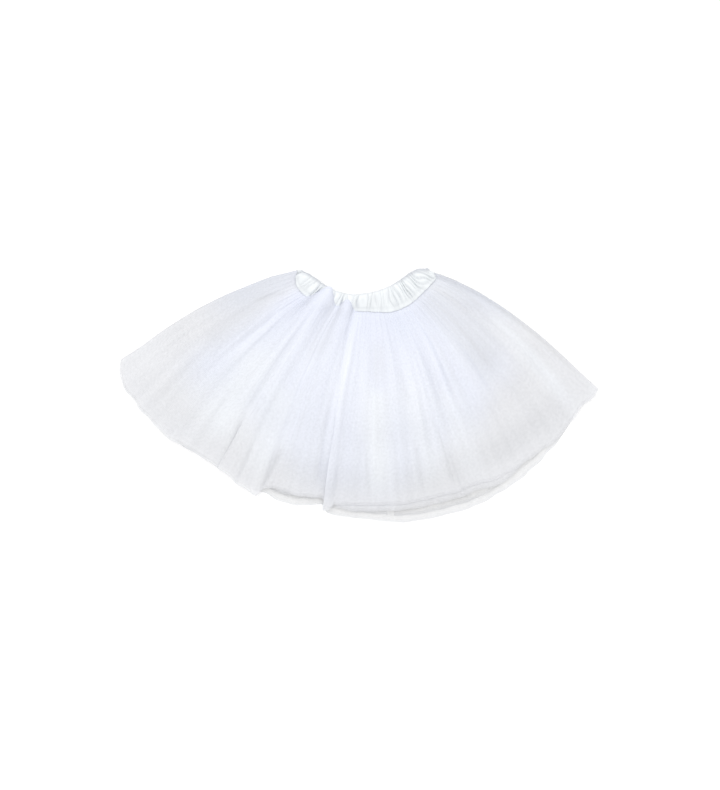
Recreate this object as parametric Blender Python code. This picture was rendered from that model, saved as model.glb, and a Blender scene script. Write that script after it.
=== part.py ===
"""A girl's ballet tutu lying flat on its back: a gathered satin waistband and two tulle skirts.

The waistband and both skirts are closed loops, as they are sewn. Laid out, each loop is pressed flat, so that
it has a front ply, a back ply and a rounded fold at each side. The inner skirt lies inside the outer one.

Every piece is set out round one centre, the centre of the waistband's curve: an angle across the garment, 0
down the middle and positive to the right, a radius down its length, and a height above the floor. Sizes are
in millimetres and angles in degrees until a mesh is made, which is in metres.
"""

import math
from collections import namedtuple

import bmesh
import bpy
import numpy as np

METRES_PER_MM = 0.001

# The waistband's upper and lower edges, as radii: a gathered elastic casing that hangs in a swag. It is pulled
# taller towards the right, and the puffed tulle hides some of its height on the left.
Edge = namedtuple("Edge", "angle upper lower")
BAND_EDGES = (
    Edge(-45.6, 122.0, 137.0),
    Edge(-38.0, 115.0, 139.5),
    Edge(-28.0, 116.0, 140.0),
    Edge(-18.5, 117.0, 139.0),
    Edge(-10.0, 116.5, 138.0),
    Edge(-2.5, 115.0, 138.0),
    Edge(5.5, 112.5, 139.5),
    Edge(14.0, 110.3, 143.0),
    Edge(23.0, 108.3, 143.0),
    Edge(33.0, 106.8, 142.0),
    Edge(40.0, 109.5, 140.5),
    Edge(44.6, 117.0, 138.5),
)
BAND_TURN = 1.8  # the angle that each end of the loop takes to turn round
BAND_PLY_GAP = 0.5
BAND_PLY = 3.4  # satin, elastic and satin
BAND_HEM = 1.5  # the thinner top and bottom edges of the casing
BAND_CREASE = 1.5  # how deep the creases between gathers are
BAND_SCALLOP = 0.7  # how far a gather pushes the edges out
BAND_GATHERS = 24  # on each ply

# The skirts.
WALL = 1.0
SEAM_GAP = 0.5  # between the band's lowest point and the tulle sewn to it
SIDE_TOP = 122.0  # at the sides the tulle stands up past the end of the band
SIDE_RISE = 0.012  # the share of the width over which it does so
INNER_SHARE = 0.9  # the inner skirt's length, as a share of the outer one's
INNER_FULLNESS = 0.42  # its height above the valleys' level, as a share of the outer one's
LOFT = 9.0  # how far the springy tulle in the middle of the garment lifts the front
HEM_LOFT = 0.7  # the share of that which is left at the hem
FIRST_GATHER = 0.2  # a fold's height where it leaves the band, as a share of its full height
GATHERS_MERGE = 0.3  # the share of the length over which the two gathers at a fold's top become one

# Heights of the middle of each wall above the floor, in the valleys between folds.
OUTER_BACK = WALL / 2
INNER_BACK = 1.8
INNER_FRONT = 3.3
OUTER_FRONT = 5.0
PLEAT = 2.2  # how high the pleats that are pressed under the garment stand at the hem

# The half width of the outer skirt, at shares of its length.
Side = namedtuple("Side", "share left right")
SIDES = (
    Side(0.00, 47.0, 46.5),
    Side(0.05, 50.4, 48.8),
    Side(0.14, 54.2, 51.6),
    Side(0.27, 56.7, 53.5),
    Side(0.42, 58.4, 54.1),
    Side(0.58, 59.0, 53.9),
    Side(0.74, 58.8, 53.2),
    Side(0.88, 58.3, 52.5),
    Side(1.00, 57.9, 52.1),
)

# The folds of the front, from left to right. Each runs from its valley to the next one's. peak is where its
# crest lies between them, height its crest and valley its left valley at the hem, begins the share of the
# length where it starts to open, lean how far its crest tips to the right per millimetre of height, and hem
# the radius that its hem reaches.
Fold = namedtuple("Fold", "start peak height valley begins lean hem")
FOLDS = (
    Fold(-57.9, 0.55, 4.0, 0.0, 0.10, 0.0, 393.0),
    Fold(-54.0, 0.50, 7.0, 1.0, 0.05, 0.1, 399.5),
    Fold(-50.5, 0.45, 9.0, 1.5, 0.20, 0.2, 399.0),
    Fold(-46.5, 0.50, 8.0, 0.5, 0.00, 0.2, 399.5),
    Fold(-43.0, 0.55, 11.0, 2.0, 0.10, 0.3, 402.0),
    Fold(-39.0, 0.50, 10.0, 3.0, 0.25, 0.2, 398.5),
    Fold(-35.5, 0.60, 16.0, 2.0, 0.00, 0.5, 394.0),
    Fold(-29.8, 0.55, 10.0, 0.0, 0.15, 0.4, 399.0),
    Fold(-25.2, 0.60, 14.0, 0.0, 0.10, 0.5, 408.5),
    Fold(-19.7, 0.50, 9.0, 0.0, 0.30, 0.2, 393.0),
    Fold(-14.5, 0.45, 12.0, 2.0, 0.05, 0.0, 389.5),
    Fold(-9.0, 0.45, 18.0, 1.0, 0.00, -0.4, 407.5),
    Fold(-5.0, 0.55, 10.0, 0.5, 0.20, -0.3, 393.5),
    Fold(-0.5, 0.50, 15.0, 2.0, 0.05, -0.1, 396.5),
    Fold(4.5, 0.50, 17.0, 3.0, 0.00, 0.1, 393.5),
    Fold(10.6, 0.50, 12.0, 0.5, 0.15, 0.1, 391.0),
    Fold(15.5, 0.55, 15.0, 2.0, 0.05, -0.3, 394.5),
    Fold(20.4, 0.50, 9.0, 0.0, 0.30, -0.4, 396.5),
    Fold(23.3, 0.45, 14.0, 0.5, 0.00, -0.5, 401.0),
    Fold(28.0, 0.50, 11.0, 2.0, 0.20, -0.3, 404.0),
    Fold(32.2, 0.45, 14.0, 1.0, 0.05, -0.4, 402.5),
    Fold(37.0, 0.50, 11.0, 2.0, 0.15, -0.3, 400.0),
    Fold(41.5, 0.50, 12.0, 2.0, 0.00, -0.3, 391.5),
    Fold(46.4, 0.50, 8.0, 1.0, 0.15, -0.1, 388.0),
    Fold(49.6, 0.45, 5.0, 1.0, 0.10, 0.0, 391.5),
)
FOLD_OPENS_OVER = 0.5  # the share of the length that a fold takes to reach its full height
POINTS_PER_FOLD = 6
INNER_STEP = 2  # the inner skirt has one point for so many of the outer one's
INNER_FIRST = 1  # and it leaves out this many folds at each side

# The hem of the outer skirt's back ply, which shows below the front's.
Hem = namedtuple("Hem", "angle radius")
BACK_HEM = (
    Hem(-57.9, 383.5),
    Hem(-55.7, 392.5),
    Hem(-53.8, 400.5),
    Hem(-40.0, 396.0),
    Hem(-30.0, 391.0),
    Hem(-22.0, 398.0),
    Hem(-16.0, 404.5),
    Hem(-10.0, 401.0),
    Hem(-7.0, 408.5),
    Hem(0.0, 413.0),
    Hem(8.0, 421.0),
    Hem(19.0, 422.0),
    Hem(27.0, 416.0),
    Hem(35.0, 406.5),
    Hem(42.0, 398.5),
    Hem(46.0, 388.5),
    Hem(52.1, 392.0),
)
BACK_PLEATS = 12
# Along one pleat of the back: flat on the floor, up, along its top, and down to the next.
PLEAT_PLACES = (0.0, 0.45, 0.62, 0.82)
PLEAT_HEIGHTS = (0.0, 0.0, 1.0, 0.8)

TURN_STEPS = 4  # facets round each side fold, and round each end of the band

TULLE_COLOUR = (0.90, 0.92, 0.98)
INNER_TULLE_COLOUR = (0.84, 0.87, 0.96)
SATIN_COLOUR = (0.94, 0.95, 0.97)


def column(rows, name):
    """One named column of a table."""
    return np.array([getattr(row, name) for row in rows])


LEFT_HEM = SIDES[-1].left
RIGHT_HEM = SIDES[-1].right
VALLEYS = np.append(column(FOLDS, "start"), RIGHT_HEM)
CRESTS = VALLEYS[:-1] + column(FOLDS, "peak") * np.diff(VALLEYS)


def smooth(value):
    """Rises from 0 to 1 as value does, with no corner at either end."""
    value = np.clip(value, 0.0, 1.0)
    return value * value * (3.0 - 2.0 * value)


def across(hem_angle):
    """The share of the width, from 0 at the left to 1 at the right, of a line that has this angle at the hem."""
    return (hem_angle + LEFT_HEM) / (LEFT_HEM + RIGHT_HEM)


def angle_at(width_share, share):
    """The angle of that line at a share of the skirt's length."""
    left = np.interp(share, column(SIDES, "share"), column(SIDES, "left"))
    right = np.interp(share, column(SIDES, "share"), column(SIDES, "right"))
    return width_share * (left + right) - left


def band_edges(angle):
    """(radius of the band's upper edge, radius of its lower edge) at an angle."""
    known = column(BAND_EDGES, "angle")
    return tuple(np.interp(angle, known, column(BAND_EDGES, edge)) for edge in ("upper", "lower"))


def top_radius(width_share):
    """Where the tulle starts: under the band, and up past the band's end at each side."""
    under = band_edges(angle_at(width_share, 0.0))[1] + BAND_SCALLOP + SEAM_GAP
    from_side = np.minimum(width_share, 1.0 - width_share)
    past = np.clip(1.0 - from_side / SIDE_RISE, 0.0, 1.0)
    return under - (under - SIDE_TOP) * past**1.5


def front_hem(width_share):
    """The hem's radius on the front, through each fold's crest."""
    angles = np.concatenate([[-LEFT_HEM], CRESTS, [RIGHT_HEM]])
    radii = np.concatenate([[BACK_HEM[0].radius], column(FOLDS, "hem"), [BACK_HEM[-1].radius]])
    return np.interp(width_share, across(angles), radii)


def back_hem(width_share):
    """The hem's radius on the back."""
    return np.interp(width_share, across(column(BACK_HEM, "angle")), column(BACK_HEM, "radius"))


def hump(place, peak, share):
    """The profile of one fold: 0 at place 0 and 1, and 1 at peak. At the band it also dips in its middle."""
    turned = math.pi * np.clip(place, 0.0, 1.0) ** (math.log(0.5) / np.log(peak))
    single = 0.5 * np.sin(turned) + 0.5 * np.sin(turned) ** 2
    double = np.sin(2.0 * math.pi * place) ** 2
    return double + (single - double) * smooth(share / GATHERS_MERGE)


def loft(width_share, share):
    """How far the front is lifted: most in the middle of the width, and a little above the hem."""
    sideways = np.sqrt(np.clip(1.0 - (2.0 * width_share - 1.0) ** 2, 0.0, 1.0))
    lengthways = smooth(share / 0.6) * (1.0 - (1.0 - HEM_LOFT) * smooth((share - 0.6) / 0.4))
    return LOFT * sideways * lengthways


def fold_height(width_share, share):
    """(how high the outer skirt's front stands above its sides, how far its folds tip to the right)."""
    starts = across(VALLEYS)
    which = np.clip(np.searchsorted(starts, width_share, side="right") - 1, 0, len(FOLDS) - 1)
    place = (width_share - starts[which]) / (starts[which + 1] - starts[which])
    begins = column(FOLDS, "begins")[which]
    opened = FIRST_GATHER + (1.0 - FIRST_GATHER) * smooth((share - begins) / FOLD_OPENS_OVER)
    valleys = np.append(column(FOLDS, "valley"), 0.0)
    floor = np.interp(width_share, starts, valleys) * smooth(share)
    raised = floor + column(FOLDS, "height")[which] * opened * hump(place, column(FOLDS, "peak")[which], share)
    tipped = raised * np.interp(width_share, across(CRESTS), column(FOLDS, "lean"))
    return raised + loft(width_share, share), tipped


def pleat_height(share):
    """How high the pleats under the garment stand at a share of the length."""
    return PLEAT * smooth(share)


def front_points(folds):
    """The width shares of the points along the front: every fold has the same number of them."""
    starts = across(VALLEYS[folds.start : folds.stop + 1])
    steps = np.arange(POINTS_PER_FOLD) / POINTS_PER_FOLD
    inside = starts[:-1, None] + steps * np.diff(starts)[:, None]
    return np.append(inside.ravel(), starts[-1])


def back_points():
    """(width shares, pleat profile) of the points along the outer skirt's back, from left to right."""
    pleats = (np.arange(BACK_PLEATS)[:, None] + np.array(PLEAT_PLACES)).ravel() / BACK_PLEATS
    shares = np.sort(np.append(pleats, [SIDE_RISE, 1.0 - SIDE_RISE, 1.0]))
    return shares, np.interp(shares * BACK_PLEATS % 1.0, PLEAT_PLACES + (1.0,), PLEAT_HEIGHTS + (0.0,))


def to_plan(angle, radius):
    """X and Y, in millimetres, of an angle and a radius round the centre of the band's curve."""
    turned = np.radians(angle)
    return radius * np.sin(turned), -radius * np.cos(turned)


def fold_round(start, end, side):
    """Points of the half circle from start to end, without those two, bulging in the direction of side."""
    turned = math.pi * np.arange(1, TURN_STEPS)[:, None] / TURN_STEPS
    half = (start - end) / 2.0
    reach = np.linalg.norm(half)
    return (start + end) / 2.0 + half * np.cos(turned) + side * reach * np.sin(turned)


def loop_of(front, back, left, right):
    """The middle of a flattened loop's wall at one share of its length: along the front, round the fold at the
    right side, back along the back and round the fold at the left side. The arguments are rows of X, Y, Z from
    left to right, and the directions in which the two folds face."""
    return np.concatenate(
        [front, fold_round(front[-1], back[-1], right), back[::-1], fold_round(back[0], front[0], left)]
    )


def skirt_loop(share, front_shares, back_shares, front_level, back_level, fullness, pleats):
    """The middle of a skirt's wall at a share of the outer skirt's length."""
    height, tipped = fold_height(front_shares, share)
    top = top_radius(front_shares)
    radius = top + (front_hem(front_shares) - top) * share
    angle = angle_at(front_shares, share) + np.degrees(fullness * tipped / radius)
    level = front_level + pleat_height(share) + fullness * height
    front = np.stack([*to_plan(angle, radius), level], axis=1)

    top = top_radius(back_shares)
    radius = top + (back_hem(back_shares) - top) * share
    level = back_level + pleats * pleat_height(share) + 0.0 * radius
    back = np.stack([*to_plan(angle_at(back_shares, share), radius), level], axis=1)

    left, right = np.radians(angle_at(front_shares[[0, -1]], share))
    facing_left = -np.array([math.cos(left), math.sin(left), 0.0])
    facing_right = np.array([math.cos(right), math.sin(right), 0.0])
    return loop_of(front, back, facing_left, facing_right)


def wall_of(middle, wall):
    """(outer, inner) points of a wall round the middle surface, whose rows are loops from the top down."""
    round_it = np.roll(middle, -1, axis=1) - np.roll(middle, 1, axis=1)
    down = np.gradient(middle, axis=0)
    normal = np.cross(round_it, down)
    normal /= np.linalg.norm(normal, axis=2, keepdims=True)
    return middle + normal * wall / 2.0, middle - normal * wall / 2.0


def tube(name, outer, inner, origin, material):
    """One closed solid: the outer surface, the inner one, and a rim at each open end."""
    rows, around = outer.shape[:2]
    points = np.concatenate([outer.reshape(-1, 3), inner.reshape(-1, 3)]) - origin
    mesh = bpy.data.meshes.new(name)
    form = bmesh.new()
    verts = [form.verts.new(point * METRES_PER_MM) for point in points]

    def at(surface, row, place):
        return verts[(surface * rows + row) * around + place % around]

    for place in range(around):
        for row in range(rows - 1):
            corners = [(row, place), (row + 1, place), (row + 1, place + 1), (row, place + 1)]
            form.faces.new([at(0, *corner) for corner in corners])
            form.faces.new([at(1, *corner) for corner in reversed(corners)])
        for row, step in ((0, 1), (rows - 1, -1)):
            rim = [at(0, row, place), at(0, row, place + 1), at(1, row, place + 1), at(1, row, place)]
            form.faces.new(rim[::step])
    bmesh.ops.recalc_face_normals(form, faces=form.faces)
    form.to_mesh(mesh)
    form.free()
    mesh.materials.append(material)
    mesh.shade_smooth()
    piece = bpy.data.objects.new(name, mesh)
    bpy.context.scene.collection.objects.link(piece)
    return piece


def outer_skirt():
    """(outer, inner) points of the outer skirt's wall. Its underside is cut off flat where it rests."""
    front_shares = front_points(range(len(FOLDS)))
    back_shares, profile = back_points()
    levels = (OUTER_FRONT, OUTER_BACK, 1.0, profile)
    rows = [skirt_loop(share, front_shares, back_shares, *levels) for share in column(SIDES, "share")]
    outer, inner = wall_of(np.stack(rows), WALL)
    outer[..., 2] = np.maximum(outer[..., 2], 0.0)
    return outer, inner


def inner_skirt():
    """(outer, inner) points of the inner skirt's wall, which lies on the outer skirt's pleats."""
    folds = range(INNER_FIRST, len(FOLDS) - INNER_FIRST)
    front_shares = front_points(folds)[::INNER_STEP]
    back_shares = front_shares[::INNER_STEP]
    if back_shares[-1] != front_shares[-1]:
        back_shares = np.append(back_shares, front_shares[-1])
    shares = column(SIDES, "share")
    shares = np.append(shares[shares < INNER_SHARE - 0.05], INNER_SHARE)
    rows = []
    for share in shares:
        fullness = INNER_FULLNESS * smooth(share / GATHERS_MERGE)
        rows.append(skirt_loop(share, front_shares, back_shares, INNER_FRONT, INNER_BACK, fullness, 1.0))
    return wall_of(np.stack(rows), WALL)


def gather_edges():
    """Where the creases between gathers lie along a ply, from 0 to 1, unevenly spaced."""
    number = np.arange(BAND_GATHERS + 1)
    uneven = 0.22 * np.sin(2.3 * number) + 0.16 * np.sin(5.1 * number + 1.0)
    uneven[[0, -1]] = 0.0
    return (number + uneven) / BAND_GATHERS


def ply_points(steps):
    """(place along a ply, how full its gather is there) for points at those steps of each gather."""
    edges = gather_edges()
    places = (edges[:-1, None] + np.array(steps) * np.diff(edges)[:, None]).ravel()
    full = np.tile(np.sin(math.pi * np.array(steps)) ** 0.7, BAND_GATHERS)
    return np.append(places, 1.0), np.append(full, 0.0)


def waistband():
    """(outer, inner) points of the band: a loop of gathered casing with a plain inside."""
    front, front_full = ply_points((0.0, 0.22, 0.5, 0.78))
    back, back_full = ply_points((0.0, 0.3, 0.7))
    left, right = BAND_EDGES[0].angle + BAND_TURN, BAND_EDGES[-1].angle - BAND_TURN
    # Round the loop: the angle, the direction that its outside faces, and how full the gather is.
    angle, facing, full = [], [], []
    for places, fullness, face in ((front, front_full, 1.0), (back[::-1], back_full[::-1], -1.0)):
        angle += list(left + (right - left) * places)
        facing += [math.pi / 2.0 * face] * len(places)
        full += list(fullness)
        for step in range(1, TURN_STEPS):
            angle.append(angle[-1])
            facing.append(math.pi * (face / 2.0 - step / TURN_STEPS))
            full.append(0.6)
    angle, facing, full = np.array(angle), np.array(facing), np.array(full)
    upper, lower = band_edges(angle)
    side_x, side_y = np.cos(np.radians(angle)), np.sin(np.radians(angle))

    def surface(down, out, swell=0.0):
        """Points at a share of the way down the band and a distance out from the inside of the loop."""
        x, y = to_plan(angle, upper + (lower - upper) * down + swell)
        reach = BAND_PLY_GAP / 2.0 + out
        along, up = np.cos(facing) * reach, np.sin(facing) * reach
        height = np.maximum(BAND_PLY + BAND_PLY_GAP / 2.0 + up, 0.0)
        return np.stack([x + along * side_x, y + along * side_y, height], axis=1)

    scallop = BAND_SCALLOP * full
    thick = BAND_PLY + BAND_CREASE * (full - 0.6)
    shoulder = (thick + BAND_HEM) / 2.0 + 0.5
    outer = np.stack(
        [
            surface(0.0, BAND_HEM, -scallop),
            surface(0.09, shoulder),
            surface(0.34, thick),
            surface(0.66, thick),
            surface(0.91, shoulder),
            surface(1.0, BAND_HEM, scallop),
        ]
    )
    inner = np.stack([surface(down, 0.0 * full) for down in (0.02, 0.09, 0.34, 0.66, 0.91, 0.98)])
    return outer, inner


def cloth(name, colour, roughness):
    """A plain material of one finish."""
    made = bpy.data.materials.new(name)
    made.use_nodes = True
    shader = made.node_tree.nodes["Principled BSDF"]
    shader.inputs["Base Color"].default_value = (*colour, 1.0)
    shader.inputs["Roughness"].default_value = roughness
    made.diffuse_color = (*colour, 1.0)
    return made


def main():
    for found in list(bpy.data.objects):
        bpy.data.objects.remove(found)
    skirt = outer_skirt()
    # The origin is on the floor, under the middle of the garment.
    low, high = skirt[0].min(axis=(0, 1)), skirt[0].max(axis=(0, 1))
    origin = np.array([(low[0] + high[0]) / 2.0, (low[1] + high[1]) / 2.0, 0.0])
    tube("tulle_outer", *skirt, origin, cloth("tulle", TULLE_COLOUR, 0.8))
    tube("tulle_inner", *inner_skirt(), origin, cloth("inner_tulle", INNER_TULLE_COLOUR, 0.85))
    tube("waistband", *waistband(), origin, cloth("satin", SATIN_COLOUR, 0.35))


main()
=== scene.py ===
# %% [markdown]
# # A girl's ballet tutu, laid flat
#
# The real thing is a long strip of tulle, gathered into an elastic waistband until it springs out. Laid
# down, it presses into a fan: a front ply, a back ply and a fold at each side, with a shorter skirt between
# them. The packed model's solids already say where everything lies, so each step makes a finer surface in
# the same place and gives it a finish.

import math
from collections import namedtuple
from types import SimpleNamespace

import bpy
import numpy as np
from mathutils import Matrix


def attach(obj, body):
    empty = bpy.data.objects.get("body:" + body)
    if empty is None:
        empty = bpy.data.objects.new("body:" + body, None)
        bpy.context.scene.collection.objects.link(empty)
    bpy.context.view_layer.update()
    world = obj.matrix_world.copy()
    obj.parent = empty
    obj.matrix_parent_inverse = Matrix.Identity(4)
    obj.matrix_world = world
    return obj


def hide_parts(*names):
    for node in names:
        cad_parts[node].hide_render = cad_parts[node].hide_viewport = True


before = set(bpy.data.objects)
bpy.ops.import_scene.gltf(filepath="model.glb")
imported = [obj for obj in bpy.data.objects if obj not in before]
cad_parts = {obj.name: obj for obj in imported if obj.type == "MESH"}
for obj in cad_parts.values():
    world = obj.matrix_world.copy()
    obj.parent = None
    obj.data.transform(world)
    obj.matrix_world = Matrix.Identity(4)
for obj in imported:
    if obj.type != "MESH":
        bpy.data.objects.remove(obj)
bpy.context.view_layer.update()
MM = 0.001  # sizes are in millimetres below, and Blender's unit is the metre

# %% [markdown]
# ## Camera, floor and light
#
# The garment lies flat and is seen from straight above. A short lens would spread its edges, so the camera
# stands high with a long one: the focal length is the sensor's height times the camera's, over the height
# of floor that has to fit.

# %% Camera
PIXEL = 4.0 / 3.0  # millimetres of floor to a pixel
PIXELS_HIGH = 790
CAMERA_HEIGHT = 3.2  # metres


def placed(name, data, place=(0.0, 0.0, 0.0)):
    """An object in the scene, made of data, at a place."""
    made = bpy.data.objects.new(name, data)
    made.location = place
    bpy.context.scene.collection.objects.link(made)
    return made


lens = bpy.data.cameras.new("overhead_camera")
lens.sensor_fit, lens.sensor_height, lens.clip_end = "VERTICAL", 24.0, 50.0
lens.lens = lens.sensor_height * CAMERA_HEIGHT / (PIXELS_HIGH * PIXEL * MM)
bpy.context.scene.camera = placed("overhead_camera", lens, (0.0, 0.0, CAMERA_HEIGHT))
print("lens:", round(lens.lens, 1), "mm")

# %% Floor
FLOOR_HALF, FLOOR_BELOW = 6.0, 0.0003  # metres
WHITE = (1.0, 1.0, 1.0, 1.0)


def wire(tree, node, inputs):
    """Gives a node's sockets, by name or number, a plain value or another node's socket to read."""
    for name, source in inputs.items():
        if isinstance(source, bpy.types.NodeSocket):
            tree.links.new(source, node.inputs[name])
        else:
            node.inputs[name].default_value = source
    return node


def new_material(name, inputs):
    """(material, its node tree, its Principled shader), with plain values on the shader's own sockets."""
    made = bpy.data.materials.new(name)
    made.use_nodes = True
    tree = made.node_tree
    return made, tree, wire(tree, tree.nodes["Principled BSDF"], inputs)


floor_mesh = bpy.data.meshes.new("studio_floor")
floor_corners = [(x * FLOOR_HALF, y * FLOOR_HALF, 0.0) for x, y in ((-1, -1), (1, -1), (1, 1), (-1, 1))]
floor_mesh.from_pydata(floor_corners, [], [(0, 1, 2, 3)])
floor = placed("studio_floor", floor_mesh, (0.0, 0.0, -FLOOR_BELOW))
paper = {"Base Color": WHITE, "Roughness": 0.9, "Specular IOR Level": 0.1}
floor_mesh.materials.append(new_material("studio_paper", paper)[0])
print("floor:", 2 * FLOOR_HALF, "m square")

# %% [markdown]
# White cloth on a white floor shows only by its shade. A strong sun would give hard shadows, so two wide
# soft panels light it: a window behind the waistband, so that a fold shades faintly towards the hem, and a
# ceiling. A white room fills the rest, and the floor comes out a shade lighter than the net.


# %% Light
def soft_panel(name, place, size, power):
    """A square area light at place that faces the middle of the floor."""
    made = bpy.data.lights.new(name, "AREA")
    made.shape, made.size, made.energy = "SQUARE", size, power
    panel = placed(name, made, place)
    away = 0.0 - np.array(place)
    panel.rotation_euler = (math.acos(-away[2] / np.linalg.norm(away)), 0.0, math.atan2(-away[0], away[1]))
    return panel


panels = [
    soft_panel("window", (-1.2, 3.7, 4.8), 3.6, 71.0),
    soft_panel("ceiling", (0.0, 0.3, 5.0), 6.0, 91.5),
]
room = bpy.data.worlds.new("white_room")
room.use_nodes = True
wire(room.node_tree, room.node_tree.nodes["Background"], {"Color": WHITE, "Strength": 0.82})
bpy.context.scene.world = room
bpy.context.scene.view_settings.view_transform = "Standard"
bpy.context.scene.cycles.transparent_max_bounces = 40  # light goes through many plies of net
print("panels:", [(panel.name, panel.data.energy) for panel in panels])

# %% [markdown]
# ## The fan
#
# Everything is set out round the centre of the waistband's curve: an angle across the garment (0 down the
# middle, positive to the right), a radius down its length, and a height. A point of the cloth is named by
# its place across, from 0 at the left fold to 1 at the right one, and its share of the length, from 0 at
# the band to 1 at the hem. Short tables say where the band's edges, the sides and the hem are. Moving one
# row moves the cloth there alone.

# %% The fan's tables, in millimetres and degrees
FAN_CENTRE = (7.7, 249.4)


def table(names, *rows):
    """Rows of a table, whose columns have these names."""
    kind = namedtuple("Row", names)
    return [kind(*row) for row in rows]


BAND_EDGES = table(
    "angle upper lower",
    (-46.8, 121.0, 127.0), (-44.0, 118.3, 134.5), (-41.0, 116.3, 139.5), (-35.0, 115.2, 142.0),
    (-28.0, 116.5, 141.0), (-18.5, 117.6, 139.5), (-10.0, 117.0, 138.5), (-2.5, 115.0, 138.0),
    (5.5, 112.5, 139.5), (14.0, 110.3, 143.0), (23.0, 107.5, 142.0), (29.0, 105.6, 139.0),
    (34.0, 104.8, 136.5), (40.0, 107.0, 134.3), (43.7, 112.5, 133.5), (46.2, 119.5, 133.0),
)
SIDES = table(
    "share left right",
    (0.0, 47.6, 46.0), (0.05, 50.4, 48.8), (0.14, 54.2, 51.6), (0.27, 56.7, 53.5), (0.42, 58.4, 54.1),
    (0.58, 59.0, 53.9), (0.74, 58.8, 53.2), (0.88, 58.3, 52.5), (1.0, 58.2, 52.1),
)
LEFT_HEM, RIGHT_HEM = SIDES[-1].left, SIDES[-1].right
HEM_SPAN = LEFT_HEM + RIGHT_HEM
print("the hem spans", round(HEM_SPAN, 1), "degrees")

# %% The two hems, front and back
FRONT_HEM = table(
    "angle radius",
    (-58.2, 383.5), (-54.8, 399.5), (-52.2, 401.0), (-48.7, 402.0), (-44.8, 403.0), (-40.8, 404.5),
    (-37.2, 399.0), (-32.1, 397.5), (-27.3, 401.5), (-21.4, 410.0), (-20.2, 398.0), (-16.9, 392.5),
    (-13.4, 394.5), (-10.9, 392.5), (-8.7, 391.0), (-7.5, 408.0), (-6.7, 406.5), (-5.6, 397.0),
    (-2.5, 396.2), (2.0, 396.5), (7.5, 397.5), (13.1, 397.0), (18.2, 397.5), (21.9, 396.5), (25.4, 401.0),
    (30.1, 401.5), (34.4, 399.5), (39.2, 400.0), (44.0, 395.0), (48.0, 391.5), (50.7, 394.5),
    (52.1, 393.0),
)
BACK_HEM = table(
    "angle radius",
    (-58.2, 383.5), (-56.0, 393.5), (-54.0, 400.0), (-40.0, 401.0), (-30.0, 395.0), (-22.0, 404.0),
    (-19.9, 403.5), (-16.4, 407.3), (-13.1, 407.0), (-10.7, 403.0), (-8.5, 400.0), (-7.2, 410.0),
    (-5.6, 411.5), (0.0, 415.0), (8.0, 422.5), (19.0, 423.5), (27.0, 418.5), (35.0, 409.5), (42.0, 398.5),
    (46.0, 391.0), (52.1, 393.0),
)
HEMS = (FRONT_HEM, BACK_HEM)
print("hem:", len(FRONT_HEM), "rows in front,", len(BACK_HEM), "behind")


# %% Reading the tables
def column(rows, name):
    """One named column of a table."""
    return np.array([getattr(row, name) for row in rows])


def smooth(value):
    """3v^2 - 2v^3: rises from 0 to 1 as value does, with no corner at either end."""
    value = np.clip(value, 0.0, 1.0)
    return value * value * (3.0 - 2.0 * value)


def ramp(value, start, over):
    """0 up to start and 1 from start + over, smooth between."""
    return smooth((value - start) / over)


def rounded(value, known, readings):
    """Reads a table at value along a smooth curve through its rows: on each span a cubic, whose slope at a
    row is the harmonic mean of the spans' slopes beside it, or 0 at a peak or dip. So the curve never swings
    past a row."""
    steep = np.diff(readings) / np.diff(known)
    same = np.maximum(steep[1:] * steep[:-1], 0.0)
    slope = np.concatenate([steep[:1], 2.0 * same / (steep[1:] + steep[:-1] + (same == 0.0)), steep[-1:]])
    place = np.clip(np.searchsorted(known, value) - 1, 0, len(known) - 2)
    span = known[place + 1] - known[place]
    t = np.clip((value - known[place]) / span, 0.0, 1.0)
    start, end = readings[place], readings[place + 1]
    return (
        start * (1 + 2 * t) * (1 - t) ** 2
        + end * t * t * (3 - 2 * t)
        + slope[place] * span * t * (1 - t) ** 2
        - slope[place + 1] * span * t * t * (1 - t)
    )


print("the front's hem hangs down to", column(FRONT_HEM, "radius").max(), "mm from the centre")


# %% Finding a place on the fan
def across(hem_angle):
    """The place across, from 0 at the left fold to 1 at the right one, of a line that meets the hem here."""
    return (hem_angle + LEFT_HEM) / HEM_SPAN


def angle_at(place, share):
    """The angle of the line at this place, at a share of the length."""
    left = rounded(share, column(SIDES, "share"), column(SIDES, "left"))
    right = rounded(share, column(SIDES, "share"), column(SIDES, "right"))
    return place * (left + right) - left


def to_floor(angle, radius):
    """X and Y in millimetres: centre + radius (sin angle, -cos angle)."""
    turned = np.radians(angle)
    return FAN_CENTRE[0] + radius * np.sin(turned), FAN_CENTRE[1] - radius * np.cos(turned)


def wander(along, down, seed, fine=3.0, terms=7):
    """A seeded waviness between about -1 and 1: sine waves of random slant, with up to fine of them
    across."""
    chance = np.random.default_rng(seed)
    total = np.zeros(np.broadcast(along, down).shape)
    for _ in range(terms):
        waves, slant = chance.uniform(0.3, 1.0) * fine, chance.uniform(-1.2, 1.2)
        total += np.sin(2.0 * math.pi * (waves * along + slant * down) + chance.uniform(0, 6.3))
    return total / math.sqrt(terms) / 1.3


print("the middle of the hem lies across at", round(across(0.0), 3))

# %% [markdown]
# ## Tulle
#
# Tulle is a net so fine that one ply is a haze. What the eye reads is how many plies lie over each other,
# so the skirt is folded as the real one is: close gathers under the band, which run together into broad
# soft folds, and here and there a fold that has fallen over. A cloth simulation of so much gathered net
# would be slow and likely to tangle. Instead each skirt is one surface, worked out from place and share,
# and each kind of fold is one term in it.
#
# The broad folds come first. Each row starts at a valley; its crest stands at a share of the way to the
# next one, and the fold begins some way down and leans to one side.

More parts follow.
